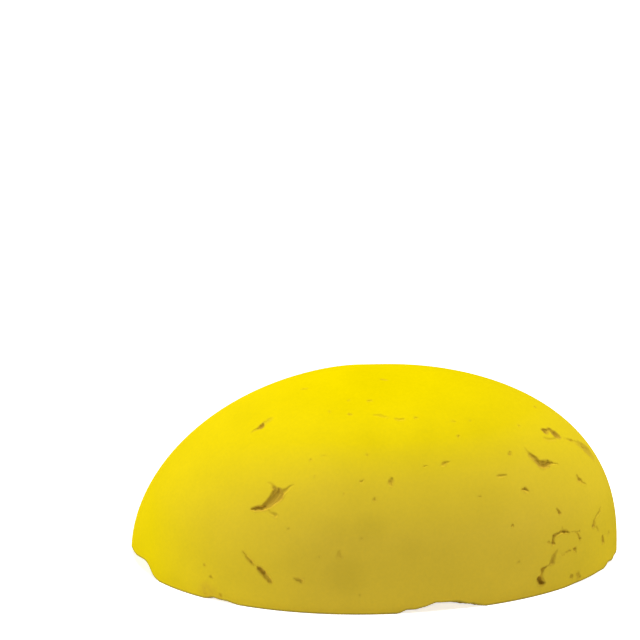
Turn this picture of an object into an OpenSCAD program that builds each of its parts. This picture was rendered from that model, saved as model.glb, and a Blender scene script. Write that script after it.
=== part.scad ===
// Soft pastel, moulded by hand: half an egg of pressed pigment with a flat underside.
// Its skin carries the pits, gouges and cracks of the moulding, and its rim is chipped.
//
// Millimetres. +X is the blunt end, -X the tapered end, -Y the front, +Z up.
// The origin is at the middle of the underside.
//
// A place on the skin is given by two angles in degrees:
//   bearing  round the crown, from 0 at +X by 90 at the back and 180 at -X to 270 at the front
//   rise     up the wall, from 0 at the rim to 90 at the crown

/* [Body] */
// Length from tip to tip
length = 57; // [45:0.5:75]
// Width across the widest part
width = 33; // [26:0.5:44]
// Height of the crown above the underside
height = 22.3; // [16:0.1:30]
// Place of the crown along the length, from the middle towards the blunt end
crown_shift = -1.4; // [-4:0.1:4]

/* [Fullness] */
// Section at the tapered end, where 2 is an ellipse and more is fuller
taper_fullness = 1.87; // [1.7:0.01:2.6]
// Section at the blunt end
blunt_fullness = 2.41; // [1.8:0.01:3]
// Section of the front wall
front_fullness = 2.35; // [1.8:0.01:3]
// Section of the back wall
back_fullness = 2.1; // [1.8:0.01:3]

/* [Marks] */
// Depth of the deepest small pits
pit_depth = 0.3; // [0.2:0.05:0.6]
// Depth of the deepest gouges
gouge_depth = 0.5; // [0.3:0.05:1]
// Depth of the deepest cracks
crack_depth = 0.4; // [0.2:0.05:0.8]
// How far in under the body a chip reaches, for each millimetre of its height
chip_reach = 2.3; // [0.8:0.1:3]

/* [Colour] */
// Colour of the pigment
pigment = "#F7DE0C"; // [#F7DE0C:Yellow, #D8432E:Red, #2F5FB3:Blue]

/* [Hidden] */

// Facets of the skin: round the body, and from the rim up to the crown
BEARINGS = 80;
RISES = 26;
// Facets of the rounded tip that cuts a gouge or a crack, and of the one that cuts a pit
TIP_FACETS = 8;
PIT_FACETS = 6;
// Step in degrees that a slope of the skin is measured over
SLOPE_STEP = 0.5;

// Gouges: each is a share of the gouges' depth, and a run of [bearing, rise, width in mm]
GOUGES = [
    // left shoulder, a comet with a smudged tail
    [0.3, [[202.1, 54.2, 0.3], [202.5, 55.2, 0.45], [202.9, 56.3, 0.55]]],
    [0.7, [[202.9, 56.1, 0.5], [203.2, 56.8, 0.7], [203.1, 57.6, 0.55]]],
    [0.2, [[203.4, 58.2, 0.6], [203.6, 59.2, 0.7], [204, 60.2, 0.45]]],
    // left front, a swallow: tail, body, two wings and a spot below
    [0.6, [[222.9, 29.6, 0.3], [224.1, 29.8, 0.55], [225.5, 30.1, 0.65], [227, 30.5, 0.75]]],
    [0.7, [[227, 30.5, 0.75], [228.2, 31.8, 1.05], [229.2, 33.2, 1.2], [230.2, 34.8, 1.35]]],
    [0.6, [[229.4, 35.9, 1.05], [228.4, 36.9, 0.75], [226.8, 37.9, 0.4], [225, 38.6, 0.2]]],
    [0.55, [[231.6, 34.9, 1], [232.7, 35.9, 0.65], [233.9, 36.9, 0.45], [235.7, 38.4, 0.2]]],
    [0.2, [[228.8, 29.5, 0.4], [230.3, 28.9, 0.45], [231.8, 28.5, 0.65]]],
    // blunt end, an arch high on the shoulder, dark at both feet
    [0.7, [[348.9, 46.3, 0.55], [349.4, 45.7, 0.65], [351, 45.5, 0.55]]],
    [0.7, [[351, 45.5, 0.55], [351.3, 44.4, 0.6], [351.2, 43.1, 0.85], [351.3, 42.2, 0.6]]],
    [0.2, [[349.5, 47.6, 0.2], [349.2, 46.7, 0.4]]],
    // blunt end, a tick below it
    [0.25, [[338, 44.1, 0.2], [337.7, 42, 0.45]]],
    [0.7, [[337.6, 41.4, 0.45], [337.9, 40.1, 0.75], [338.2, 38.7, 0.75]]],
    [0.85, [[338.2, 38.7, 0.75], [338.3, 37, 0.75], [339, 36.3, 0.75]]],
    [0.6, [[339, 36.3, 0.75], [340.4, 36.1, 0.6], [341.5, 35.9, 0.4]]],
    [0.3, [[339.1, 38.6, 0.45], [339.9, 37.9, 0.7], [340.7, 37.3, 0.6]]],
    [0.2, [[341.5, 35.9, 0.4], [343.1, 34.9, 0.2]]],
    // blunt end, a groove that runs out over the shoulder
    [0.2, [[352.4, 40.8, 0.2], [353.5, 39, 0.35], [354.6, 37.8, 0.45], [355.4, 36.6, 0.3]]],
    [0.3, [[355.2, 36.4, 0.4], [356.3, 34.6, 0.75], [357.4, 32.6, 0.85], [357.9, 30.8, 0.8],
          [358.1, 28.9, 0.7]]],
    // low on the blunt end, a round pit
    [0.95, [[328.6, 3.2, 0.95], [329.1, 2.5, 0.9]]]
];

// Cracks: each is a share of the cracks' depth, and a run of [bearing, rise, width in mm]
CRACKS = [
    // left front, thin and then open
    [0.45, [[223.5, 15.9, 0.3], [224.9, 14.7, 0.4], [226.6, 13.2, 0.6], [227.3, 12.6, 0.3]]],
    [0.2, [[227.3, 12.6, 0.3], [228.8, 11.9, 0.35]]],
    [0.95, [[228.8, 11.8, 0.4], [229.7, 11.1, 0.75], [231, 10, 0.8]]],
    [0.65, [[231, 10, 0.8], [232.3, 8.8, 0.7], [233.3, 7.8, 0.65]]],
    // blunt end, a hook with a tail
    [0.9, [[332.8, 11.9, 0.6], [333.1, 12.9, 0.45], [333.8, 14, 0.55], [334.6, 14.3, 0.4],
          [335.6, 14.5, 0.4]]],
    [1, [[335.6, 14.5, 0.4], [336.8, 14.3, 0.55], [337.9, 13.7, 0.25]]],
    [0.25, [[331.7, 12.8, 0.4], [332.1, 12, 0.3]]],
    [0.25, [[336.3, 15.8, 0.25], [336.3, 14.9, 0.25]]],
    [0.35, [[338.9, 13.5, 0.25], [339.8, 13.1, 0.25], [340.9, 12.8, 0.4]]],
    [0.7, [[340.1, 12.6, 0.25], [340.4, 11.5, 0.3], [340.7, 10.4, 0.45]]],
    // blunt end, a crooked crack down to a round pit
    [0.75, [[333.7, 9.5, 0.3], [332.8, 8.5, 0.45], [332.2, 6.7, 0.75], [331.3, 6.1, 0.5]]],
    [0.9, [[331.3, 6.1, 0.45], [330.2, 5.7, 0.5], [329.5, 5.5, 0.65], [329.1, 4.3, 0.4],
          [329, 3.4, 0.45]]],
    // far end of the front
    [0.3, [[349.4, 15.8, 0.25], [348.9, 14.8, 0.35], [347.4, 14.3, 0.3], [346.3, 13.6, 0.3]]],
    [0.6, [[346.3, 13.6, 0.3], [345.6, 12.3, 0.55]]],
    [0.25, [[346.5, 11.4, 0.3], [346.9, 9.9, 0.25]]],
    [0.6, [[348.4, 7.6, 0.35], [348.3, 6, 0.45]]],
    [0.7, [[336.5, 21.7, 0.3], [336.5, 21, 0.35], [336.7, 20.1, 0.45]]],
    // short cracks of the front wall
    [0.5, [[217.5, 2, 0.3], [218, 1.7, 0.3]]],
    [0.75, [[241.9, 8.9, 0.25], [243.2, 8.5, 0.5], [244.3, 8.1, 0.65]]],
    [0.5, [[267.3, 39.8, 0.45], [268.3, 40.2, 0.3]]],
    [0.5, [[282.2, 40.7, 0.35], [281.8, 39.6, 0.6], [281.5, 38.4, 0.45]]],
    [0.65, [[306.2, 44.1, 0.3], [307.7, 44.5, 0.6], [309.3, 44.9, 0.45], [310.2, 45.2, 0.25]]],
    [0.6, [[324.4, 37, 0.4], [325.5, 37, 0.55], [326.8, 36.9, 0.35]]],
    [0.75, [[329.3, 31, 0.3], [330.1, 30.6, 0.5], [330.8, 29.8, 0.3]]],
    [0.7, [[346.4, 28.5, 0.35], [346.4, 27.1, 0.65], [346.7, 26.2, 0.45], [347.6, 24.9, 0.25]]],
    [0.4, [[336.3, 8.1, 0.4], [337.1, 8.1, 0.45]]]
];

// Pits: each is [bearing, rise, width in mm, share of the pits' depth]
PITS = [
    // front and crown
    [212, 10, 0.4, 0.35], [214.5, 7, 0.35, 0.45], [213, 1.5, 0.3, 0.4], [258.5, 16, 0.75, 0.35],
    [267, 4.5, 0.35, 0.35], [238, 24, 0.4, 0.35], [240, 47.5, 0.3, 0.35], [246, 49, 0.25, 0.35],
    [244, 41.5, 0.3, 0.35], [270, 50, 0.35, 0.45], [273.5, 33.5, 0.5, 0.5],
    [256.5, 67.5, 0.3, 0.45], [276.5, 75, 0.3, 0.4], [237.5, 68, 0.3, 0.35],
    [190, 73.5, 0.3, 0.35], [339, 86.5, 0.3, 0.35], [284.5, 66.5, 0.3, 0.35],
    [296.5, 64.5, 0.4, 0.35], [308, 64.5, 0.3, 0.35], [324.5, 60.5, 0.25, 0.35],
    [331, 59.5, 0.3, 0.35], [320.5, 54, 0.35, 0.35], [343.5, 51.5, 0.35, 0.35],
    [359, 52, 0.35, 0.35], [332.5, 44, 0.4, 0.5], [315.5, 31.5, 0.3, 0.35], [323, 20, 0.4, 0.65],
    [338.5, 8.5, 0.55, 0.85], [339, 7.5, 0.3, 0.35], [335, 8, 0.3, 0.35], [337.5, 1.5, 0.6, 0.4],
    [339.5, 1, 0.6, 0.45], [323, 9, 0.35, 0.35], [322.5, 7, 0.35, 0.35], [351.5, 7, 0.4, 0.35],
    // back wall
    [14, 33, 0.4, 0.8], [27, 58, 0.3, 0.6], [38, 17, 0.5, 1], [46, 44, 0.35, 0.7],
    [58, 70, 0.4, 0.8], [63, 26, 0.3, 0.6], [77, 49, 0.55, 1], [86, 12, 0.35, 0.7],
    [95, 63, 0.3, 0.6], [104, 34, 0.45, 0.9], [118, 21, 0.3, 0.6], [127, 54, 0.4, 0.8],
    [139, 39, 0.3, 0.6], [152, 13, 0.45, 0.9], [161, 60, 0.35, 0.7], [170, 30, 0.3, 0.6]
];

// Chips along the rim: each is a run of [bearing, height in mm that the wall has lost]
CHIPS = [
    // tapered tip
    [[181, 0], [182, 0.2], [184, 0.55], [186, 0.75], [188, 1], [190, 1.2], [192.5, 1.35],
     [194, 0.8], [195.5, 0.15], [196.5, 0]],
    // left of the front
    [[213, 0], [214.5, 0.15], [216, 0.25], [218, 0.1], [220, 0.1], [222, 0]],
    // right of the front
    [[281.5, 0], [283, 0.2], [285, 0.35], [287, 0.45], [290.5, 0.45], [292, 0.55], [294, 0.85],
     [296, 1.05], [298, 1.1], [302, 1], [304, 1], [305.5, 0.8], [308, 0.6], [310, 0.35],
     [312, 0.15], [314, 0]],
    // blunt end
    [[340, 0], [341.5, 0.1], [343, 0]],
    [[345, 0], [346, 0.1], [347, 0]],
    [[349, 0], [349.8, 0.2], [351.5, 0.05], [352, 0]],
    [[353, 0], [353.5, 0.2], [355, 0.1], [355.5, 0]]
];

// Thinnest slice that a chip's cutter starts and ends in
SLICE = 0.02;
// How far the cutters stand out of the body
CLEARANCE = 1;
// Steps of the rounded ceiling of a chip
CEILING_STEPS = 4;

// Power of the section curve at a bearing, eased from one wall to the next
function fullness(bearing) =
    let (along = cos(bearing), across = sin(bearing))
    (along >= 0 ? blunt_fullness : taper_fullness) * along * along
    + (across >= 0 ? back_fullness : front_fullness) * across * across;

// Reach of the rim from the crown's axis: two half ellipses, one for each end
function rim_reach(bearing) =
    let (end = cos(bearing) >= 0 ? length / 2 - crown_shift : length / 2 + crown_shift)
    1 / norm([cos(bearing) / end, sin(bearing) / (width / 2)]);

// A point of the skin
function skin(bearing, rise) =
    let (power = 2 / fullness(bearing), reach = rim_reach(bearing) * pow(cos(rise), power))
    [crown_shift + reach * cos(bearing), reach * sin(bearing), height * pow(sin(rise), power)];

// The skin's outward direction there, of length 1
function outward(bearing, rise) =
    let (
        round = skin(bearing + SLOPE_STEP, rise) - skin(bearing - SLOPE_STEP, rise),
        up = skin(bearing, rise + SLOPE_STEP) - skin(bearing, max(rise - SLOPE_STEP, 0)),
        normal = cross(round, up)
    )
    normal / norm(normal);

// Solid under the skin: rings of points from the rim up, and one point at the crown
module egg() {
    rings = [for (k = [0:RISES - 1], i = [0:BEARINGS - 1]) skin(360 * i / BEARINGS, 90 * k / RISES)];
    crown = [crown_shift, 0, height];
    wall = [
        for (k = [0:RISES - 2], i = [0:BEARINGS - 1])
            let (a = k * BEARINGS + i, b = k * BEARINGS + (i + 1) % BEARINGS)
            each [[a, b + BEARINGS, b], [a, a + BEARINGS, b + BEARINGS]]
    ];
    cap = [
        for (i = [0:BEARINGS - 1])
            let (top = (RISES - 1) * BEARINGS)
            [top + i, RISES * BEARINGS, top + (i + 1) % BEARINGS]
    ];
    underside = [[for (i = [0:BEARINGS - 1]) i]];
    polyhedron(concat(rings, [crown]), concat(wall, cap, underside));
}

// Puts what is drawn about the origin on the skin, with +Z outwards
module on_skin(bearing, rise) {
    normal = outward(bearing, rise);
    translate(skin(bearing, rise))
        rotate([0, acos(normal.z), atan2(normal.y, normal.x)])
            children();
}

// Rounded tip that leaves a hollow of this width and depth
module tip(place, depth, facets) {
    on_skin(place[0], place[1])
        scale([place[2] / 2, place[2] / 2, depth])
            sphere(1, $fn = facets);
}

// The hollow left by a tip drawn along a run: it is deepest where it is widest
module stroke(run, depth) {
    widest = max([for (place = run) place[2]]);
    for (i = [1:len(run) - 1])
        hull()
            for (place = [run[i - 1], run[i]])
                tip(place, depth * place[2] / widest, TIP_FACETS);
}

// Slice out of the rim, as high as the wall has lost, under a rounded ceiling
module bite(place) {
    lost = max(place[1], SLICE);
    ceiling = [
        for (k = [0:CEILING_STEPS])
            let (turn = 90 * k / CEILING_STEPS)
            [-chip_reach * lost * sin(turn), lost * cos(turn)]
    ];
    below = [[-chip_reach * lost, -CLEARANCE], [CLEARANCE, -CLEARANCE], [CLEARANCE, lost]];
    translate(skin(place[0], 0))
        rotate([90, 0, place[0]])
            linear_extrude(SLICE, center = true)
                polygon(concat(ceiling, below));
}

// A row of slices run together
module chip(run) {
    for (i = [1:len(run) - 1])
        hull()
            for (place = [run[i - 1], run[i]])
                bite(place);
}

module pastel_stick() {
    color(pigment)
        difference() {
            egg();
            for (mark = GOUGES) stroke(mark[1], gouge_depth * mark[0]);
            for (mark = CRACKS) stroke(mark[1], crack_depth * mark[0]);
            for (place = PITS) tip(place, pit_depth * place[3], PIT_FACETS);
            for (run = CHIPS) chip(run);
        }
}

pastel_stick();
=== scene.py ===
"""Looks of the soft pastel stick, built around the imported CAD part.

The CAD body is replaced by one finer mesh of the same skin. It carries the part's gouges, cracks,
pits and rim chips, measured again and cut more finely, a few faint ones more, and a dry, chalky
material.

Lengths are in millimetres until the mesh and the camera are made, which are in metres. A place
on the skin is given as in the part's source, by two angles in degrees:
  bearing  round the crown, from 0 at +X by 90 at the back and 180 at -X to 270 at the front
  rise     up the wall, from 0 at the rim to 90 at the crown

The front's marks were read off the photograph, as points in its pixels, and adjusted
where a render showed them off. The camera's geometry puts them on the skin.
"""

import math

import bpy
import numpy as np
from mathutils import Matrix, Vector


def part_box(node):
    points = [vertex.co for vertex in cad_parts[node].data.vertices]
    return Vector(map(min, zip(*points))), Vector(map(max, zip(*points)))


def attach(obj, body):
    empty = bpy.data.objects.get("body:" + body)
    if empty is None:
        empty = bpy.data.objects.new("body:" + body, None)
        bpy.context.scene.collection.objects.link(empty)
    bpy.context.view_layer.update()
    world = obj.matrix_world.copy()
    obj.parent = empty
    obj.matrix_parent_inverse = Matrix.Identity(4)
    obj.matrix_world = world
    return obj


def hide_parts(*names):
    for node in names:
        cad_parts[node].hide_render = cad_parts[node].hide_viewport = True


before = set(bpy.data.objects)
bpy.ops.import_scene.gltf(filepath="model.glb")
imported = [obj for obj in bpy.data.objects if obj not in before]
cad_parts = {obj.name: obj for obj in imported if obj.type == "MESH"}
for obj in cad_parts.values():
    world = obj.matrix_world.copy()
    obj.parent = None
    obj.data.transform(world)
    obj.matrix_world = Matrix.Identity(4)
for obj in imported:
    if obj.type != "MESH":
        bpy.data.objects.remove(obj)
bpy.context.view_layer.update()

MM = 0.001
NODE = "pastel_stick"

# ---------------------------------------------------------------- skin

LOW, HIGH = (np.array(corner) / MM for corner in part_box(NODE))
LENGTH, WIDTH, HEIGHT = HIGH - LOW
CROWN_SHIFT = -1.4
TAPER_FULLNESS = 1.87
BLUNT_FULLNESS = 2.41
FRONT_FULLNESS = 2.35
BACK_FULLNESS = 2.1


def end_reach(across):
    """Reach of the rim from the crown's axis, along the length, on that side of the crown."""
    return np.where(across >= 0, LENGTH / 2 - CROWN_SHIFT, LENGTH / 2 + CROWN_SHIFT)


def fullness(bearing):
    along, across = np.cos(np.radians(bearing)), np.sin(np.radians(bearing))
    ends = np.where(along >= 0, BLUNT_FULLNESS, TAPER_FULLNESS)
    sides = np.where(across >= 0, BACK_FULLNESS, FRONT_FULLNESS)
    return ends * along**2 + sides * across**2


def skin(bearing, rise):
    """Points of the skin, one row of x, y, z for each bearing and rise."""
    bearing, rise = np.broadcast_arrays(np.asarray(bearing, float), np.asarray(rise, float))
    along, across = np.cos(np.radians(bearing)), np.sin(np.radians(bearing))
    power = 2 / fullness(bearing)
    rim = 1 / np.hypot(along / end_reach(along), across / (WIDTH / 2))
    reach = rim * np.abs(np.cos(np.radians(rise))) ** power
    height = HEIGHT * np.abs(np.sin(np.radians(rise))) ** power
    return np.stack([CROWN_SHIFT + reach * along, reach * across, height], -1)


def outward(points):
    """The skin's outward directions at points that lie on it."""
    x, y, z = points[:, 0] - CROWN_SHIFT, points[:, 1], points[:, 2]
    power = fullness(np.degrees(np.arctan2(y, x)))
    slope_x, slope_y = x / end_reach(x) ** 2, y / (WIDTH / 2) ** 2
    from_axis = np.maximum(np.sqrt(x * slope_x + y * slope_y), 1e-6) ** (power - 2)
    slope_z = np.abs(z / HEIGHT) ** (power - 1) / HEIGHT
    normals = np.stack([slope_x * from_axis, slope_y * from_axis, slope_z], -1)
    return normals / np.linalg.norm(normals, axis=1, keepdims=True)


# ---------------------------------------------------------------- camera

# The photograph's frame, and where the stick's middle stands in it, in pixels
FRAME_SIZE = 640
MIDDLE_X, MIDDLE_Y = 375.6, 486.3
FOCAL_PIXELS = 4110
# The middle is this far above the underside
MIDDLE_HEIGHT = 8
CAMERA_DISTANCE = 480
CAMERA_ELEVATION = math.radians(26.65)
CAMERA_TURN = math.radians(2.2)
# Size of a pixel at the stick's middle
PIXEL = CAMERA_DISTANCE / FOCAL_PIXELS


def axes_towards(forward):
    """The directions forward, right and up of a level camera that looks forward."""
    forward = forward / np.linalg.norm(forward)
    right = np.cross(forward, (0, 0, 1))
    right = right / np.linalg.norm(right)
    return forward, right, np.cross(right, forward)


def camera_stand():
    """Where the camera stands, and the point off the stick's middle that it is aimed at."""
    level = math.cos(CAMERA_ELEVATION)
    forward, right, up = axes_towards(np.array([
        math.sin(CAMERA_TURN) * level,
        math.cos(CAMERA_TURN) * level,
        -math.sin(CAMERA_ELEVATION),
    ]))
    middle = np.array([0, 0, MIDDLE_HEIGHT])
    off_middle = up * (MIDDLE_Y - FRAME_SIZE / 2) - right * (MIDDLE_X - FRAME_SIZE / 2)
    return middle - forward * CAMERA_DISTANCE, middle + PIXEL * off_middle


# Steps of the search along a line of sight, and of the search between two of them
SIGHT_STEPS = 2000
HALVINGS = 40


def skin_shares(points):
    """Squares of the cosine and the sine of the rise at points, which add up to 1 on the skin."""
    x, y, z = points[..., 0] - CROWN_SHIFT, points[..., 1], points[..., 2]
    power = fullness(np.degrees(np.arctan2(y, x)))
    return np.hypot(x / end_reach(x), y / (WIDTH / 2)) ** power, np.maximum(z / HEIGHT, 0) ** power


def first_touch(stand, sight):
    """Where a line of sight first meets the skin, or comes nearest to it if it just misses."""
    ways = np.linspace(CAMERA_DISTANCE - LENGTH, CAMERA_DISTANCE + LENGTH, SIGHT_STEPS)
    beyond = sum(skin_shares(stand + ways[:, None] * sight)) - 1
    if beyond.min() >= 0:
        return stand + ways[np.argmin(beyond)] * sight
    first = np.argmax(beyond < 0)
    outside, inside = ways[first - 1], ways[first]
    for _ in range(HALVINGS):
        middle = (outside + inside) / 2
        if sum(skin_shares(stand + middle * sight)) > 1:
            outside = middle
        else:
            inside = middle
    return stand + inside * sight


def seen_at(x, y):
    """Bearing and rise of the skin that shows at a point of the photograph."""
    stand, aim = camera_stand()
    forward, right, up = axes_towards(aim - stand)
    sight = FOCAL_PIXELS * forward + (x - FRAME_SIZE / 2) * right - (y - FRAME_SIZE / 2) * up
    place = first_touch(stand, sight / np.linalg.norm(sight))
    level, upright = skin_shares(place)
    bearing = math.degrees(math.atan2(place[1], place[0] - CROWN_SHIFT)) % 360
    return bearing, math.degrees(math.atan2(math.sqrt(upright), math.sqrt(level)))


# ---------------------------------------------------------------- marks

# Each of the front's marks is (depth, run), and a run is a list of (x, y, width): the depth in
# millimetres, and the rest in pixels of the photograph
GOUGES = [
    # left shoulder, a comet with a smudged tail
    (0.11, [(252, 431.6, 2.4), (255, 429.8, 3.6), (258, 428.4, 4.4)]),
    (0.27, [(257.6, 428.8, 3.4), (260.8, 426.9, 5.4), (262.8, 424.9, 5)]),
    (0.08, [(265.2, 422.6, 5), (268.4, 420.4, 6), (271.6, 418.6, 4)]),
    # left front, a swallow: tail, body, two wings and a spot below
    (0.31, [(252.2, 509.4, 3.8), (256, 508.9, 5.8), (260, 508.5, 6.6), (265, 507.6, 7.4)]),
    (0.22, [(264, 506.6, 6), (268.6, 501.6, 6), (272.6, 495.8, 6), (275.4, 489.4, 5.6)]),
    (0.31, [(265.4, 507, 7.4), (270.4, 502.4, 9), (274.8, 497.2, 10), (278.6, 492.6, 9.4)]),
    (0.24, [(268.2, 507, 5), (273.4, 503, 6.2), (278.2, 499, 6.6), (281.8, 495, 6.4)]),
    (0.25, [(273.4, 487.4, 4.8), (275.2, 490.6, 6.4), (276.4, 493.4, 7)]),
    (0.2, [(276, 491.5, 8), (274.6, 488.4, 6.2), (272, 485, 3.8), (268.4, 482.6, 1.6)]),
    (0.21, [(280.5, 494.8, 8.6), (284, 491.8, 5.6), (288, 489, 3.8), (293.4, 484.8, 1.6)]),
    (0.1, [(268.5, 511, 3.2), (272, 513.2, 4), (275.2, 515.2, 5.6)]),
    # blunt end, an arch high on the shoulder, dark at both feet
    (0.3, [(542.8, 430, 4.4), (545.6, 431.4, 7)]),
    (0.22, [(545.6, 431, 6.4), (549.4, 429.8, 5.4), (552.4, 431.8, 6)]),
    (0.3, [(552.6, 432.4, 6.4), (556, 435, 8.4), (558.6, 436.4, 6)]),
    (0.03, [(541, 427.4, 1.6), (542.8, 429.4, 2.6)]),
    (0.07, [(544.5, 438.4, 4), (549, 439.4, 4.6), (554.6, 439, 4.6)]),
    # blunt end, a tick below it
    (0.08, [(524.8, 448, 1.8), (528.4, 453.2, 4)]),
    (0.2, [(529.6, 454.6, 4.6), (533, 457.6, 6.6), (536.6, 460.6, 6.6)]),
    (0.25, [(536.6, 460.6, 6.2), (540.4, 464.6, 6.6), (543.6, 465.8, 6.4)]),
    (0.32, [(543.6, 465.4, 6.6), (548, 464, 6), (551.6, 463.2, 3.6)]),
    (0.25, [(540, 462.6, 5.6), (544, 463.6, 7.6), (548, 462.6, 5.4)]),
    (0.1, [(551.6, 463.8, 3.4), (557.6, 464.4, 1.6)]),
    # blunt end, a groove that runs out over the shoulder
    (0.09, [(563, 437.6, 1.6), (568.4, 439.4, 2.8), (572.4, 440.8, 3.8), (575.6, 442, 2.6)]),
    (0.16, [(570.8, 440.2, 2.4), (572.6, 440.8, 2.4)]),
    (0.16, [(576, 442.8, 5.4), (580, 444.8, 9.4), (584, 447.4, 12.4), (588, 451, 13.6),
          (591.2, 455, 11), (593.4, 459.4, 5)]),
    (0.22, [(582.4, 446, 2.8), (584.4, 447.2, 3)]),
    (0.2, [(588.6, 452.6, 3)]),
]

CRACKS = [
    # left front, thin and then open
    (0.16, [(243.2, 552.4, 2.6), (247, 556.8, 3.6), (251.4, 562, 5), (253.2, 564, 2.6)]),
    (0.045, [(253.2, 564, 2.4), (257.4, 566.8, 3)]),
    (0.28, [(257.6, 567, 3.6), (260, 569.4, 6.6), (263.4, 573.2, 7)]),
    (0.2, [(263.4, 573.2, 6.8), (267, 577.4, 5.8), (269.8, 581, 5.6)]),
    # blunt end, a hook with a tail
    (0.22, [(552.8, 542.8, 4.8), (553.2, 540, 4), (554.8, 535.8, 4.8), (557.6, 533.8, 3.4),
          (561, 532, 3.4)]),
    (0.24, [(561, 532, 3.4), (565, 531.8, 4.8), (569.4, 532.2, 2.2)]),
    (0.1, [(548.4, 542.6, 3.4), (549.6, 544, 2.4)]),
    (0.05, [(562.3, 527.2, 2.2), (563, 530, 2)]),
    (0.1, [(572.6, 532, 2), (576, 532, 2), (579.6, 531.4, 3.4)]),
    (0.16, [(577.4, 532.6, 2), (579, 535.8, 2.4), (580.3, 539, 4)]),
    # blunt end, a crooked crack down to a round pit
    (0.2, [(557, 550.6, 3), (553.8, 555.2, 4.6), (552.2, 562.3, 6.8), (550.4, 564.2, 4)]),
    (0.08, [(550.4, 564.2, 4), (545.6, 567.4, 3.4)]),
    (0.23, [(545.6, 567.4, 4), (542.7, 569.6, 5.4), (541.4, 574.6, 3.2), (541.4, 578, 4)]),
    # far end of the front
    (0.115, [(600, 507.4, 2), (600, 511.4, 2.8), (597, 515.4, 2.6), (594.8, 519.6, 2.6)]),
    (0.2, [(594.8, 519.6, 3), (593.8, 525, 5.4)]),
    (0.085, [(596.6, 526.4, 2.4), (598.5, 530.8, 2.2)]),
    (0.19, [(602.8, 536.6, 3.8), (603.2, 541.6, 4.8)]),
    (0.2, [(557.6, 508.8, 2.4), (558.4, 511, 2.8), (560, 513.2, 3.8)]),
]

PITS = [
    # left of the front, low
    (0.09, [(204.7, 565.4, 4)]),
    (0.11, [(210.6, 577, 3), (212.2, 577.8, 2.2)]),
    (0.05, [(205.2, 592.6, 2.6)]),
    (0.1, [(219.8, 594.4, 2.4), (221.4, 595.6, 2.6)]),
    (0.14, [(294.6, 578.4, 2.4), (298, 579.6, 5), (301, 581, 6.4)]),
    (0.08, [(339.4, 552, 4.6), (339.6, 556, 6.4)]),
    (0.05, [(319.7, 557, 3.2)]),
    (0.05, [(361.3, 539, 4)]),
    (0.065, [(359.5, 595, 3)]),
    (0.052, [(288.3, 528.8, 3.2)]),
    (0.04, [(343.5, 494.3, 3)]),
    # left of the front, high
    (0.08, [(310.5, 460.4, 2.4)]),
    (0.04, [(322, 456.4, 2), (326, 455.6, 1.8)]),
    (0.05, [(314.2, 476.9, 2.4)]),
    (0.07, [(366.8, 454.9, 3)]),
    (0.09, [(361.4, 481.8, 4), (363.4, 480.8, 2.6)]),
    (0.09, [(374.8, 498.4, 3.4), (374.4, 500, 4.4)]),
    (0.15, [(391.4, 478.6, 2.8), (391, 481.8, 5.2), (390.8, 485, 4)]),
    (0.07, [(424, 466.6, 2), (427, 465.6, 1.8)]),
    (0.13, [(440.8, 465.4, 2.4), (443.8, 464, 5), (447, 462.4, 4), (449, 461.4, 2)]),
    # front of the crown
    (0.105, [(349.2, 414.3, 2.6), (351.2, 414.5, 2.2)]),
    (0.045, [(348.6, 400.4, 2.8)]),
    (0.08, [(368.6, 401, 2.6), (371.2, 400.8, 2.4)]),
    (0.05, [(329.6, 411.8, 2.4)]),
    (0.06, [(302.6, 388.6, 2.4), (307, 388.8, 2.4)]),
    (0.13, [(382, 379.2, 2.4), (386.4, 380.2, 2.2)]),
    (0.07, [(374.5, 415, 2), (380, 415.2, 2.4), (386, 416.8, 2.2), (389, 418, 1.6)]),
    (0.08, [(395.5, 419, 2.6), (399.5, 419.5, 3.6), (403.8, 419.4, 2.6)]),
    (0.085, [(414.8, 418, 2.4), (417, 417.9, 2)]),
    (0.055, [(452.6, 421.4, 2.2), (455, 422, 2)]),
    (0.045, [(470.6, 420.8, 2.6)]),
    (0.105, [(458.6, 436.4, 3)]),
    (0.08, [(518.8, 425.8, 3)]),
    (0.15, [(535, 406.8, 3)]),
    # right of the front
    (0.13, [(509.8, 452, 2.6), (510, 454, 3.4)]),
    (0.115, [(498.6, 476.3, 3.4), (502, 475.8, 4.6), (506, 475.2, 3)]),
    (0.2, [(522.6, 489.6, 3.4), (525.2, 489.8, 5), (528.4, 491.4, 3)]),
    (0.07, [(478, 496.4, 2), (481, 496, 2.4)]),
    (0.145, [(512.6, 526, 3.4)]),
    (0.17, [(577.4, 476.4, 2.8), (579.4, 480, 5.4), (581.6, 482, 3.8), (585.6, 484, 2)]),
    # low on the blunt end
    (0.44, [(539.8, 579.4, 7.6), (541.6, 582.8, 8)]),
    (0.18, [(574.8, 549, 4.6)]),
    (0.085, [(575.8, 551.6, 2.6)]),
    (0.1, [(566.4, 552.4, 3.4), (569.4, 551.4, 4)]),
    (0.06, [(561.4, 555.6, 2.6), (563.6, 554.4, 2.4)]),
    (0.15, [(571.2, 576.6, 5)]),
    (0.13, [(577.4, 573.6, 4.8), (578.4, 576.6, 5)]),
    (0.08, [(518.3, 562.3, 2.8)]),
    (0.075, [(608.6, 533.4, 6)]),
]

# The back isn't in the photograph. It has small pits like the front's: (bearing, rise, width)
BACK_PITS = [
    (14, 33, 0.4), (27, 58, 0.3), (38, 17, 0.5), (46, 44, 0.35), (58, 70, 0.4), (63, 26, 0.3),
    (77, 49, 0.55), (86, 12, 0.35), (95, 63, 0.3), (104, 34, 0.45), (118, 21, 0.3),
    (127, 54, 0.4), (139, 39, 0.3), (152, 13, 0.45), (161, 60, 0.35), (170, 30, 0.3),
]
# Depth of a back pit of this width, to which the others are in proportion
BACK_PIT_DEPTH = 0.18
BACK_PIT_WIDTH = 0.5
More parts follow.
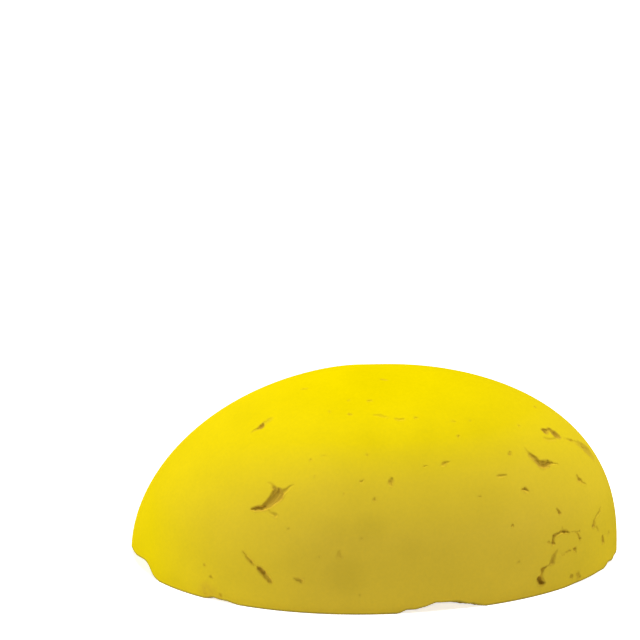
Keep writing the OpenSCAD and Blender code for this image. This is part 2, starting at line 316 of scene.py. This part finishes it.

# Chips along the rim, given after the photograph's lower edge was measured against the plain
# rim's: runs of (bearing, height that the wall has lost)
CHIPS = [
    # tapered tip
    [(178, 0), (179, 0.2), (180, 0.5), (181.5, 0.85), (183, 1.05), (186, 1.15), (188, 1.25),
     (190, 1.45), (192, 1.6), (193, 1.55), (194, 1.35), (195, 0.95), (196, 0.45), (197, 0.2),
     (198.5, 0)],
    # left of the front
    [(213, 0), (214, 0.1), (215, 0.3), (216, 0.35), (217.5, 0.25), (220, 0.25), (222, 0.1),
     (223.5, 0)],
    # right of the front
    [(281.5, 0), (283, 0.1), (284, 0.25), (285.5, 0.45), (289, 0.45), (291, 0.6), (293, 0.75),
     (295, 1), (296.5, 1.15), (298, 1.1), (302, 1.05), (304.2, 1), (306, 0.75), (307.5, 0.55),
     (309, 0.5), (311, 0.2), (313, 0)],
    # blunt end
    [(335.5, 0), (338, 0.1), (346, 0.1), (348, 0)],
    [(348.2, 0), (349.2, 0.2), (350, 0.4), (350.6, 0.35), (352, 0.1), (352.6, 0.12), (353.6, 0.3),
     (354.2, 0.3), (355, 0.2), (356.5, 0)],
]
# A chip reaches this many times its height in under the stick, below a rounded ceiling
CHIP_REACH = 2.3

# Stained patches, each (bearing, rise, width, strength), as are the two lists below
STAINS = [
    (214, 2.5, 3, 0.4),
    (217.5, 1, 1, 0.4),
]
# Broad, faint patches of painted shade, and how much darker a full one makes the pigment
PAINTED_SHADE_PATCHES = [
    (271, 23.5, 5, 0.8), (286.5, 17.5, 5, 0.5), (261, 10, 6, 0.9), (318.5, 29.5, 8, 0.4),
    (255.5, 22.5, 6, 0.5), (243.5, 14.5, 5, 0.3), (265, 19, 4, 0.4), (251, 17, 4, 0.4),
    (187.5, 59, 9, 0.5), (200, 73, 10, 0.6), (235, 75, 9, 0.5), (300, 87, 10, 0.7),
]
PAINTED_SHADE_DARK = 0.08
# Broad patches of painted light, and how much lighter a full one makes the pigment
PAINTED_LIGHT_PATCHES = [
    (258.5, 62, 7, 0.5), (293.5, 60, 8, 1), (319, 57, 7, 0.8), (350, 17, 9, 0.7),
    (349, 4.5, 8, 1), (345, 1, 6, 0.7), (198, 7.5, 9, 0.8), (210, 4.5, 8, 0.8), (224, 1.5, 6, 0.8),
]
PAINTED_LIGHT_GAIN = 0.05

# How steeply a patch fades towards its edge, where more is steeper
PATCH_FADE = 1.5

# Bearings and rises of the front's marks are rounded to this many decimals, and their widths to
# this step, which has two decimals
ANGLE_DECIMALS = 1
WIDTH_STEP = 0.05
WIDTH_DECIMALS = 2
# The edges of the marks are ragged: they wander this far, in lumps of this size
RAGGED = 0.1
RAGGED_LUMP = 0.35
RAGGED_SEEDS = 11, 12, 13
# Share of a hollow's half width that its wall takes
WALL_SHARE = 0.7
# Depth at which a mark is fully tinted, partly by dust and partly by painted shade, and how far inside
# and outside its edge that tint fades
DUST_AND_SHADE_DEPTH = 0.24
FADE_INSIDE = 0.18
FADE_OUTSIDE = 0.16

NOISE_CELLS = 32


def noise(points, lump, seed):
    """A smooth random field from -1 to 1, with lumps of about that size."""
    table = np.random.default_rng(seed).uniform(-1, 1, (NOISE_CELLS,) * 3)
    cell = np.floor(points / lump).astype(int)
    part = points / lump - cell
    part = part * part * (3 - 2 * part)
    total = np.zeros(len(points))
    for corner in np.ndindex(2, 2, 2):
        weight = np.prod(np.where(corner, part, 1 - part), axis=1)
        total += weight * table[tuple(((cell + corner) % NOISE_CELLS).T)]
    return total


def put_on_skin(marks):
    """The marks with their runs as (bearing, rise, width), in degrees and millimetres."""
    found = []
    for depth, run in marks:
        places = []
        for x, y, width in run:
            bearing, rise = seen_at(x, y)
            width = round(round(width * PIXEL / WIDTH_STEP) * WIDTH_STEP, WIDTH_DECIMALS)
            places.append((round(bearing, ANGLE_DECIMALS), round(rise, ANGLE_DECIMALS), width))
        found.append((depth, places))
    return found


def segments(marks):
    """Straight pieces of the marks' runs: both ends' places, half widths and depths."""
    found = []
    for depth, run in marks:
        places = skin([b for b, _, _ in run], [r for _, r, _ in run])
        widths = np.array([width for _, _, width in run])
        depths = depth * widths / widths.max()
        ends = list(zip(places, widths / 2, depths))
        found += list(zip(ends, ends[1:])) or [(ends[0], ends[0])]
    return found


def nearest_on(points, start, end):
    """How far along a segment, from 0 to 1, each point's nearest place on it is."""
    along = end - start
    length = max(float(along @ along), 1e-12)
    return np.clip((points - start) @ along / length, 0, 1)


def hollows(points, pieces):
    """Depth of the marks at each point, and how strongly they are tinted there, from 0 to 1, partly
    dust and partly painted shade.
    """
    wander = [noise(points, RAGGED_LUMP, seed) for seed in RAGGED_SEEDS]
    points = points + RAGGED * np.stack(wander, -1)
    depth, dust_and_shade = np.zeros(len(points)), np.zeros(len(points))
    for (start, half_a, deep_a), (end, half_b, deep_b) in pieces:
        middle = (start + end) / 2
        reach = np.linalg.norm(end - start) / 2 + max(half_a, half_b) + FADE_OUTSIDE
        near = np.flatnonzero(np.linalg.norm(points - middle, axis=1) < reach)
        along = nearest_on(points[near], start, end)
        half = half_a + (half_b - half_a) * along
        deep = deep_a + (deep_b - deep_a) * along
        away = np.linalg.norm(points[near] - start - along[:, None] * (end - start), axis=1)
        inside = np.clip((1 - away / half) / WALL_SHARE, 0, 1)
        depth[near] = np.maximum(depth[near], deep * inside * inside * (3 - 2 * inside))
        fade = np.clip((half + FADE_OUTSIDE - away) / (FADE_INSIDE + FADE_OUTSIDE), 0, 1)
        # The hollow's tint, partly dust and partly painted shade, fades out past its edge
        dust_and_shade[near] = np.maximum(dust_and_shade[near], fade * np.clip(deep / DUST_AND_SHADE_DEPTH, 0, 1))
    return depth, dust_and_shade


def patched(points, patches):
    """How strong the patches are at each point, from 0 to 1."""
    strongest = np.zeros(len(points))
    for bearing, rise, width, strength in patches:
        away = np.linalg.norm(points - skin(bearing, rise), axis=1) / (width / 2)
        strongest = np.maximum(strongest, strength * np.clip(PATCH_FADE * (1 - away), 0, 1))
    return strongest


def chip_height(bearing):
    """Height that the wall has lost at each bearing."""
    height = np.zeros(np.shape(bearing))
    for run in CHIPS:
        places, heights = zip(*run)
        height = np.maximum(height, np.interp(np.mod(bearing, 360), places, heights, 0, 0))
    return height


# ---------------------------------------------------------------- mesh

# Cells along each side of the square that is laid over the skin, and how often each may be split
ROOTS = 16
LEVELS = 6
# Size of a cell: at a mark, away from all marks, and how fast it grows between them
FINE = 0.1
COARSE = 0.7
GROWTH = 0.4
# Half the width of the strip along a chipped rim that has the finest cells
CHIPPED_RIM = 0.1
# Share of the way in from the rim that the underside's chips may take
CHIP_BAND = 0.2
# Edges that turn by more than this are sharp
SHARP_ANGLE = math.radians(55)


def disc_places(s, t):
    """Lays the square from -1 to 1 over a disc: the turn in radians, and 0 at the centre to 1."""
    wide = np.abs(s) > np.abs(t)
    main, other = np.where(wide, s, t), np.where(wide, t, s)
    share = np.divide(other, main, out=np.zeros_like(main), where=main != 0)
    turn = np.where(wide, share * math.pi / 4, math.pi / 2 - share * math.pi / 4)
    return turn + np.where(main < 0, math.pi, 0), np.abs(main)


def bearings_at(turn):
    """Bearings of the turns of a disc that is stretched to the rim's ellipse."""
    along = np.cos(turn)
    return np.degrees(np.arctan2(np.sin(turn) * WIDTH / 2, along * end_reach(along)))


def wall_points(turn, out):
    """Points of the wall and the crown under the disc, with the rim raised at the chips."""
    bearing = bearings_at(turn)
    lost = chip_height(bearing) / HEIGHT
    lowest = np.degrees(np.arcsin(lost ** (fullness(bearing) / 2)))
    return skin(bearing, lowest + (90 - lowest) * (1 - out))


def underside_points(turn, out):
    """Points of the underside, flat but for the chips' broken faces."""
    rim = wall_points(turn, 1)
    centre = np.array([CROWN_SHIFT, 0, 0])
    flat = centre + (rim - centre) * out[..., None]
    inset = np.linalg.norm((rim - centre)[..., :2], axis=-1) * (1 - out)
    share = inset / np.maximum(CHIP_REACH * rim[..., 2], 1e-9)
    flat[..., 2] = rim[..., 2] * np.sqrt(np.clip(1 - share**2, 0, 1))
    return flat


def grid(side):
    """The square's coordinates at (side + 1) by (side + 1) places."""
    line = np.linspace(-1, 1, side + 1)
    return np.meshgrid(line, line, indexing="ij")


def beside(cells):
    """Cells that are set or touch a set one."""
    grown = np.pad(cells, 1)
    side = len(cells)
    return np.any([grown[i : i + side, j : j + side] for i in range(3) for j in range(3)], axis=0)


def distance_to(points, pieces):
    """Distance from each point to the edge of the nearest mark."""
    nearest = np.full(len(points), np.inf)
    for (start, half_a, _), (end, half_b, _) in pieces:
        along = nearest_on(points, start, end)
        away = np.linalg.norm(points - start - along[:, None] * (end - start), axis=1)
        nearest = np.minimum(nearest, away - half_a - (half_b - half_a) * along)
    return np.maximum(nearest, 0)


def wanted_splits(level, pieces):
    """Cells of this level that are larger than their place on the skin wants."""
    points = wall_points(*disc_places(*grid(ROOTS << level)))
    sizes = [
        np.linalg.norm(np.diff(points[:, :-1], axis=0), axis=-1),
        np.linalg.norm(np.diff(points[:-1, :], axis=1), axis=-1),
    ]
    size = np.maximum(*sizes)
    centres = (points[1:, 1:] + points[:-1, :-1]) / 2
    far = distance_to(centres.reshape(-1, 3), pieces).reshape(size.shape)
    return size > np.clip(FINE + GROWTH * far, FINE, COARSE)


def even_splits(wanted):
    """Adds splits until neighbouring cells differ by one level at most."""
    splits = []
    for level in reversed(range(LEVELS)):
        split = wanted[level]
        if splits:
            side = len(split)
            split = split | beside(splits[0].reshape(side, 2, side, 2).any(axis=(1, 3)))
        splits.insert(0, split)
    return splits


def under_cells(side):
    """Cells of the underside that are on the rim or near a chip, where it may be split."""
    middles = (np.arange(side) + 0.5) / side * 2 - 1
    turn, out = disc_places(*np.meshgrid(middles, middles, indexing="ij"))
    chipped = (chip_height(bearings_at(turn)) > 0) & (out > 1 - CHIP_BAND)
    cells = beside(chipped)
    cells[[0, -1], :] = True
    cells[:, [0, -1]] = True
    return cells


def leaves(splits):
    """Corner and size, on the finest lattice, of each cell that isn't split."""
    found = []
    for level in range(LEVELS + 1):
        side = ROOTS << level
        here = np.ones((side, side), bool)
        if level > 0:
            here = splits[level - 1].repeat(2, 0).repeat(2, 1)
        if level < LEVELS:
            here = here & ~splits[level]
        corner = np.argwhere(here)
        step = 2 << (LEVELS - level)
        found.append((corner * step, step))
    return found


RING = np.array([(0, 0), (1, 0), (2, 0), (2, 1), (2, 2), (1, 2), (0, 2), (0, 1)])


def lattice_mesh(splits):
    """Lattice places of the vertices, and the faces as rows of 3 or 4 lattice places."""
    side = 2 * (ROOTS << LEVELS) + 1
    used = np.zeros((side, side), bool)
    for corner, step in leaves(splits):
        for place in RING[::2]:
            used[tuple((corner + place * step // 2).T)] = True
    quads, triangles = [], []
    for corner, step in leaves(splits):
        ring = [corner + place * step // 2 for place in RING]
        halved = np.array([used[tuple(ring[k].T)] for k in (1, 3, 5, 7)])
        plain = ~halved.any(axis=0) if step > 2 else np.ones(len(corner), bool)
        quads.append(np.stack([ring[k][plain] for k in (0, 2, 4, 6)], 1))
        centre = corner + step // 2
        for edge in range(4):
            a, m, b = ring[2 * edge], ring[2 * edge + 1], ring[(2 * edge + 2) % 8]
            whole, cut = ~plain & ~halved[edge], ~plain & halved[edge]
            triangles.append(np.stack([centre[whole], a[whole], b[whole]], 1))
            triangles.append(np.stack([centre[cut], a[cut], m[cut]], 1))
            triangles.append(np.stack([centre[cut], m[cut], b[cut]], 1))
    return np.concatenate(quads), np.concatenate(triangles), side


def numbered(quads, triangles, side):
    """Vertex numbers of the faces, and each vertex's lattice place."""
    places = np.concatenate([quads.reshape(-1, 2), triangles.reshape(-1, 2)])
    flat = places[:, 0] * side + places[:, 1]
    kept, number = np.unique(flat, return_inverse=True)
    cut = len(quads) * 4
    return number[:cut].reshape(-1, 4), number[cut:].reshape(-1, 3), np.divmod(kept, side)


def mark_pieces():
    """Straight pieces of all the marks, the front's and the back's."""
    back = []
    for bearing, rise, width in BACK_PITS:
        back.append((BACK_PIT_DEPTH * width / BACK_PIT_WIDTH, [(bearing, rise, width)]))
    return segments(put_on_skin(GOUGES + CRACKS + PITS) + back)


def chip_pieces():
    """Straight pieces of the rim under the chips, with no depth, which only ask for fine cells."""
    found = []
    for run in CHIPS:
        ends = [(place, CHIPPED_RIM, 0) for place in skin([bearing for bearing, _ in run], 0)]
        found += list(zip(ends, ends[1:]))
    return found


def disc_mesh(splits):
    """Faces as vertex numbers, and the vertices' places on the lattice and on the disc."""
    quads, triangles, side = lattice_mesh(splits)
    quads, triangles, (i, j) = numbered(quads, triangles, side)
    on_disc = disc_places(2 * i / (side - 1) - 1, 2 * j / (side - 1) - 1)
    return (quads, triangles), list(zip(i, j)), on_disc


def under_numbers(lattice, rim, first):
    """Vertex numbers of the underside, which shares the rim's, and which of them are new."""
    number = np.array([rim.get(place, -1) for place in lattice])
    new = number < 0
    number[new] = first + np.arange(new.sum())
    return number, new


def build_body():
    """The whole skin as one closed mesh, and the values at its vertices that its looks need."""
    marks = mark_pieces()
    wanted = [wanted_splits(level, marks + chip_pieces()) for level in range(LEVELS)]
    top_splits = even_splits(wanted)
    under_splits = even_splits([cells & under_cells(len(cells)) for cells in top_splits])

    top_faces, lattice, (turn, out) = disc_mesh(top_splits)
    points = wall_points(turn, out)
    depth, dust_and_shade = hollows(points, marks)
    points = points - outward(points) * depth[:, None]
    above_rim = points[:, 2] - chip_height(bearings_at(turn))
    rim = {place: number for number, place in enumerate(lattice) if out[number] == 1}

    under_faces, lattice, on_disc = disc_mesh(under_splits)
    number, new = under_numbers(lattice, rim, len(points))
    under = underside_points(*on_disc)[new]

    faces = [face for part in top_faces for face in part.tolist()]
    faces += [face for part in under_faces for face in number[part][:, ::-1].tolist()]
    plain = np.zeros(len(under))
    looks = {
        "hollow": np.concatenate([depth, plain]),
        # Tint of the hollows, partly dust and partly painted shade
        "dust_and_shade": np.concatenate([dust_and_shade, plain]),
        "above_rim": np.concatenate([above_rim, plain + 1]),
    }
    return np.concatenate([points, under]), faces, looks


def make_piece():
    places, faces, looks = build_body()
    looks["stain"] = patched(places, STAINS)
    # Broad patches of painted shade
    looks["painted_shade_patch"] = patched(places, PAINTED_SHADE_PATCHES)
    # Broad patches of painted light
    looks["painted_light_patch"] = patched(places, PAINTED_LIGHT_PATCHES)
    mesh = bpy.data.meshes.new("pastel_body")
    mesh.from_pydata((places * MM).tolist(), [], faces)
    for name, values in looks.items():
        mesh.attributes.new(name, "FLOAT", "POINT").data.foreach_set("value", values)
    mesh.polygons.foreach_set("use_smooth", np.ones(len(mesh.polygons), bool))
    mesh.set_sharp_from_angle(angle=SHARP_ANGLE)
    mesh.update()
    body = bpy.data.objects.new("pastel_body", mesh)
    bpy.context.scene.collection.objects.link(body)
    return body


# ---------------------------------------------------------------- material

# Pigment from the crown down to the wall's foot, where painted shade makes it duller: (share of the
# way, colour)
PIGMENT_WITH_PAINTED_SHADE = [
    (0, (0.93, 0.739, 0, 1)),
    (0.25, (0.925, 0.72, 0.005, 1)),
    (0.55, (0.92, 0.685, 0.03, 1)),
    (1, (0.92, 0.663, 0.05, 1)),
]
# Heights between which the painted shade dulls the pigment
PAINTED_SHADE_FROM, PAINTED_SHADE_TO = 22, 9
# At either tip the wall has this share only of the painted shade, and farther in all of it: (tip's X,
# inner X, share)
TAPERED_TIP = -26, -6, 0.25
BLUNT_TIP = 27, 17, 0.6
# Colour of hollows, partly dust and partly painted shade, the painted shade of the deepest ones, and
# the pigment of stains
HOLLOW_DUST_AND_SHADE = (0.63, 0.41, 0.035, 1)
DEEP_PAINTED_SHADE = (0.36, 0.2, 0.012, 1)
STAIN_PIGMENT = (0.72, 0.42, 0.04, 1)
# Depths between which a hollow turns from its dust and painted shade to the deepest painted shade
DEEP_FROM, DEEP_TO = 0.24, 0.5
# Painted shade along the edge that the stick stands on, where it meets the floor, how much it shows,
# and the heights that it fades between
RIM_PAINTED_SHADE = (0.4, 0.3, 0.05, 1)
RIM_SHARE = 0.75
RIM_FROM, RIM_TO = 0.24, 0.08
# Sizes of the pigment's blotches and grain, and how dark and light each makes it
BLOTCH_SIZE = 5
BLOTCH_TONES = 0.98, 1.015
GRAIN_SIZE = 0.35
GRAIN_TONES = 0.975, 1.02
# Most of a noise lies between these values
NOISE_LOW, NOISE_HIGH = 0.3, 0.7
# Size of a stain's blotches, and the values of their noise between which it comes up
STAIN_SIZE = 1.2
STAIN_LOW, STAIN_HIGH = 0.35, 0.6
# Relief of the grain, and how matt the pigment is
GRAIN_RELIEF = 0.05
GRAIN_STRENGTH = 0.25
ROUGHNESS = 0.95


class Nodes:
    """Adds nodes to a material and links them, in one call each.

    An input is named by its socket's name, with _ for a space, or by _ and its number.
    """

    def __init__(self, tree):
        self.tree = tree

    def add(self, kind, settings=None, **inputs):
        node = self.tree.nodes.new("ShaderNode" + kind)
        for name, value in (settings or {}).items():
            setattr(node, name, value)
        for name, value in inputs.items():
            key = int(name[1:]) if name[1:].isdigit() else name.replace("_", " ")
            self.put(node.inputs[key], value)
        return node

    def put(self, socket, value):
        if isinstance(value, bpy.types.NodeSocket):
            self.tree.links.new(value, socket)
        else:
            socket.default_value = value

    def range(self, value, low, high, to_low=0.0, to_high=1.0):
        """Maps a value from one range to another, and clamps it."""
        node = self.add("MapRange", None, Value=value, From_Min=low, From_Max=high,
                        To_Min=to_low, To_Max=to_high)
        return node.outputs["Result"]

    def mix(self, share, first, second):
        node = self.add("Mix", {"data_type": "RGBA"}, _0=share, _6=first, _7=second)
        return node.outputs[2]

    def ramp(self, share, stops):
        """A colour that changes from stop to stop, each a share and a colour."""
        node = self.add("ValToRGB", None, _0=share)
        spots = node.color_ramp.elements
        between = [spots.new(place) for place, _ in stops[1:-1]]
        for spot, (place, colour) in zip([spots[0], *between, spots[-1]], stops):
            spot.position, spot.color = place, colour
        return node.outputs[0]

    def math(self, operation, first, second):
        return self.add("Math", {"operation": operation}, _0=first, _1=second).outputs[0]

    def times(self, first, *others):
        """The product of several values."""
        for other in others:
            first = self.math("MULTIPLY", first, other)
        return first

    def noise(self, place, size, detail):
        """A noise from 0 to 1 with lumps of about this size, in millimetres."""
        node = self.add("TexNoise", None, Vector=place, Scale=1 / (size * MM), Detail=detail)
        return node.outputs["Factor"] if "Factor" in node.outputs else node.outputs["Fac"]


def pigment_with_painted_shade(nodes, place):
    """Colour of the pigment where nothing is on it: bright above, and duller down the wall with
    painted shade.
    """
    axes = nodes.add("SeparateXYZ", None, Vector=place).outputs
    # Painted shade: the pigment dulls from the crown's height down the wall
    painted_shade = nodes.range(axes["Z"], PAINTED_SHADE_FROM * MM, PAINTED_SHADE_TO * MM)
    for tip, inner, share in (TAPERED_TIP, BLUNT_TIP):
        painted_shade = nodes.times(painted_shade, nodes.range(axes["X"], tip * MM, inner * MM, share))
    return nodes.ramp(painted_shade, PIGMENT_WITH_PAINTED_SHADE)


def pigment_tone(nodes, place, grain, painted_shade_patch, painted_light_patch):
    """How light the pigment is, round 1: blotched and grained, darker in patches of painted shade, and
    lighter in patches of painted light.
    """
    blotch = nodes.noise(place, BLOTCH_SIZE, 3)
    return nodes.times(
        nodes.range(blotch, NOISE_LOW, NOISE_HIGH, *BLOTCH_TONES),
        nodes.range(grain, NOISE_LOW, NOISE_HIGH, *GRAIN_TONES),
        # Patches of painted shade darken the pigment, and patches of painted light lighten it
        nodes.range(painted_shade_patch, 0, 1, 1, 1 - PAINTED_SHADE_DARK),
        nodes.range(painted_light_patch, 0, 1, 1, 1 + PAINTED_LIGHT_GAIN),
    )


def pigment_material():
    """Dry pressed pigment: matt, faintly mottled, with a fine grain, hollows tinted partly by dust and
    partly by painted shade, and painted shade down the wall and along its foot.
    """
    material = bpy.data.materials.new("pastel_pigment")
    material.use_nodes = True
    nodes = Nodes(material.node_tree)
    shader = material.node_tree.nodes["Principled BSDF"]
    place = nodes.add("TexCoord").outputs["Object"]
    hollow, dust_and_shade, stain, painted_shade_patch, painted_light_patch, above_rim = (
        nodes.add("Attribute", {"attribute_name": name}).outputs["Fac"]
        for name in ("hollow", "dust_and_shade", "stain", "painted_shade_patch", "painted_light_patch", "above_rim")
    )
    grain = nodes.noise(place, GRAIN_SIZE, 4)

    tone = pigment_tone(nodes, place, grain, painted_shade_patch, painted_light_patch)
    multiply = {"data_type": "RGBA", "blend_type": "MULTIPLY"}
    # The pigment with its painted shade, times its tone
    toned = nodes.add("Mix", multiply, _0=1.0, _6=pigment_with_painted_shade(nodes, place), _7=tone)
    patchy = nodes.range(nodes.noise(place, STAIN_SIZE, 3), STAIN_LOW, STAIN_HIGH)
    colour = nodes.mix(nodes.times(stain, patchy), toned.outputs[2], STAIN_PIGMENT)
    # Painted shade along the foot of the wall, where it meets the floor
    colour = nodes.mix(nodes.range(above_rim, RIM_FROM, RIM_TO, 0, RIM_SHARE), colour, RIM_PAINTED_SHADE)
    # Hollows take a tint that is partly dust and partly painted shade, and the deepest ones more
    # painted shade
    colour = nodes.mix(dust_and_shade, colour, HOLLOW_DUST_AND_SHADE)
    colour = nodes.mix(nodes.range(hollow, DEEP_FROM, DEEP_TO), colour, DEEP_PAINTED_SHADE)
    nodes.put(shader.inputs["Base Color"], colour)

    bump = nodes.add("Bump", None, Strength=GRAIN_STRENGTH, Distance=GRAIN_RELIEF * MM, Height=grain)
    nodes.put(shader.inputs["Normal"], bump.outputs["Normal"])
    shader.inputs["Roughness"].default_value = ROUGHNESS
    shader.inputs["Specular IOR Level"].default_value = 0
    return material


# ---------------------------------------------------------------- stage

SENSOR = 36
# Nearest and farthest that the camera sees, in metres
CLIP_START, CLIP_END = 0.01, 10


def make_camera():
    """A long lens, aimed a little off the stick so that it stands low and right in the frame."""
    stand, aim = (Vector(place * MM) for place in camera_stand())
    data = bpy.data.cameras.new("camera")
    data.sensor_width = SENSOR
    data.lens = FOCAL_PIXELS / FRAME_SIZE * SENSOR
    data.clip_start, data.clip_end = CLIP_START, CLIP_END
    camera = bpy.data.objects.new("camera", data)
    camera.location = stand
    camera.rotation_mode = "QUATERNION"
    camera.rotation_quaternion = (aim - stand).to_track_quat("-Z", "Y")
    bpy.context.scene.collection.objects.link(camera)
    bpy.context.scene.camera = camera


# Light that the floor adds where it is seen, of which 1 is white
FLOOR_GLOW = 0.72
FLOOR_COLOUR = (0.9, 0.9, 0.9, 1)
# Side of the floor, in metres
FLOOR_SIZE = 4
WHITE = (1, 1, 1, 1)

# The lamps' names, places in metres and powers, and the size that they all have
LAMPS = [
    ("top_lamp", (0, 0, 1), 6.8),
    ("left_lamp", (-1, 0, 0.35), 4.7),
    ("right_lamp", (0.6, 0, 0.8), 3),
]
LAMP_SIZE = 0.5
WORLD_STRENGTH = 0.03


def make_floor():
    """Pale paper that looks nearly white to the camera and keeps the stick's shadow."""
    bpy.ops.mesh.primitive_plane_add(size=FLOOR_SIZE)
    floor = bpy.context.object
    floor.name = "floor"
    material = bpy.data.materials.new("floor_paper")
    material.use_nodes = True
    nodes = Nodes(material.node_tree)
    shader = material.node_tree.nodes["Principled BSDF"]
    shader.inputs["Base Color"].default_value = FLOOR_COLOUR
    shader.inputs["Roughness"].default_value = 1
    shader.inputs["Specular IOR Level"].default_value = 0
    shader.inputs["Emission Color"].default_value = WHITE
    rays = nodes.add("LightPath").outputs
    seen = nodes.math("MAXIMUM", rays["Is Camera Ray"], rays["Is Glossy Ray"])
    seen = nodes.math("MAXIMUM", seen, rays["Is Transmission Ray"])
    nodes.put(shader.inputs["Emission Strength"], nodes.math("MULTIPLY", seen, FLOOR_GLOW))
    floor.data.materials.append(material)


def make_lamp(name, place, power):
    data = bpy.data.lights.new(name, "AREA")
    data.shape = "DISK"
    data.size = LAMP_SIZE
    data.energy = power
    lamp = bpy.data.objects.new(name, data)
    lamp.location = place
    lamp.rotation_mode = "QUATERNION"
    lamp.rotation_quaternion = (-Vector(place)).to_track_quat("-Z", "Y")
    bpy.context.scene.collection.objects.link(lamp)


def make_light():
    for lamp in LAMPS:
        make_lamp(*lamp)
    world = bpy.data.worlds.new("world")
    bpy.context.scene.world = world
    world.use_nodes = True
    background = world.node_tree.nodes["Background"]
    background.inputs["Color"].default_value = WHITE
    background.inputs["Strength"].default_value = WORLD_STRENGTH
    bpy.context.scene.view_settings.view_transform = "Standard"


# ---------------------------------------------------------------- scene

make_camera()
body = make_piece()
body.data.materials.append(pigment_material())
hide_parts(NODE)
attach(body, "root")
make_floor()
make_light()
